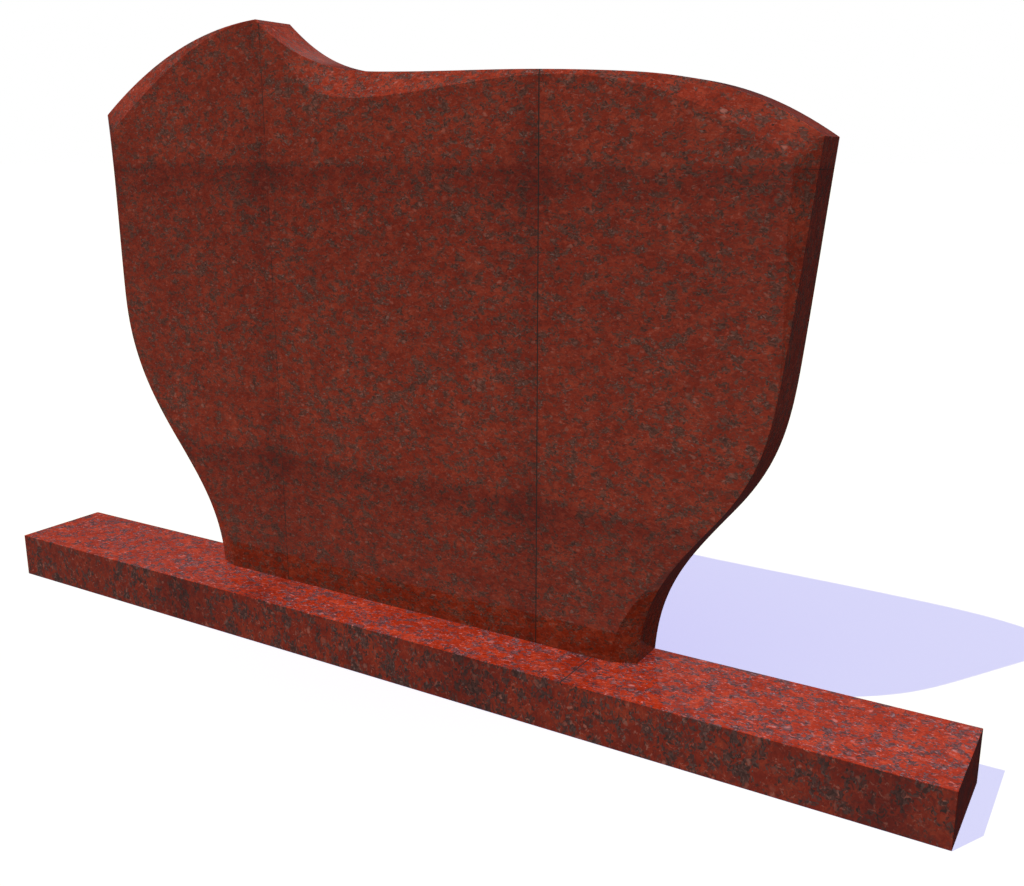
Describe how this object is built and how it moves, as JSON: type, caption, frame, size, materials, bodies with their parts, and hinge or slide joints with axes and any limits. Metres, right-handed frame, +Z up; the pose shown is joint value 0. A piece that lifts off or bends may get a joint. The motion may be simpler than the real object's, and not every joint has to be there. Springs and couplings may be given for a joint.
{
  "type": "headstone",
  "caption": "Polished granite headstone: an asymmetric shaped slab with a run-out chamfer, standing on a long low plinth.",
  "frame": {"origin": "middle of the plinth's underside", "axes": "+X along the plinth, +Y from the inscription face to the back, +Z up"},
  "size_m": [2, 0.2, 1.1593],
  "materials": {
    "headstone_granite": "polished",
    "plinth_granite": "polished"
  },
  "bodies": {
    "root": {"headstone": "headstone_granite", "plinth": "plinth_granite"}
  },
  "joints": []
}
